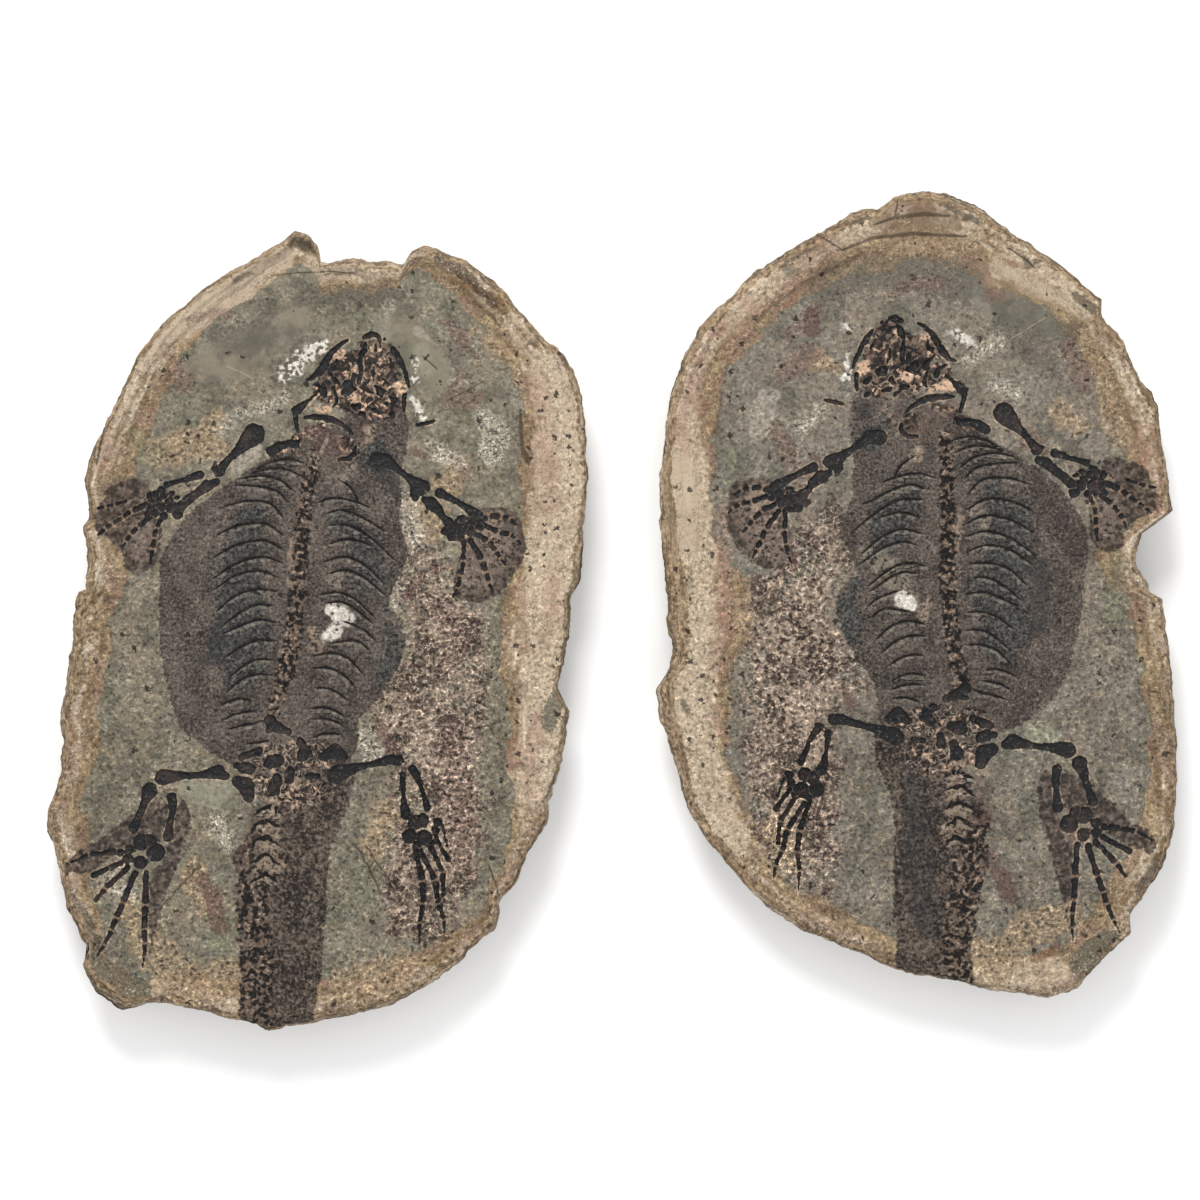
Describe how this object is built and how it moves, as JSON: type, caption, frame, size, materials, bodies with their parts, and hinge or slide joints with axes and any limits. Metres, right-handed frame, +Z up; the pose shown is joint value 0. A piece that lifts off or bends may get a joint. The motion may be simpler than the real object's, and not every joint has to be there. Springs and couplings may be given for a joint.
{
  "type": "fossil barasaurus parareptile pair",
  "caption": "Split stone nodule lying open on its domed backs: part and counterpart, each with a small long-tailed fossil reptile hollowed into its floor inside a layered crust rim.",
  "frame": {"origin": "the middle of the pair's outline, on the surface that both halves lie on", "axes": "+X across the pair from the part to the counterpart, +Y towards both heads, +Z up out of the split faces"},
  "size_m": [0.4076, 0.3018, 0.0249],
  "materials": {
    "part_stone": "rough olive and tan siltstone with dark brown skin and near-black bone hollows",
    "counterpart_stone": "rough olive and tan siltstone with dark brown skin and near-black bone hollows"
  },
  "bodies": {
    "root": {"part_slab": "part_stone", "counterpart_slab": "counterpart_stone"}
  },
  "joints": []
}
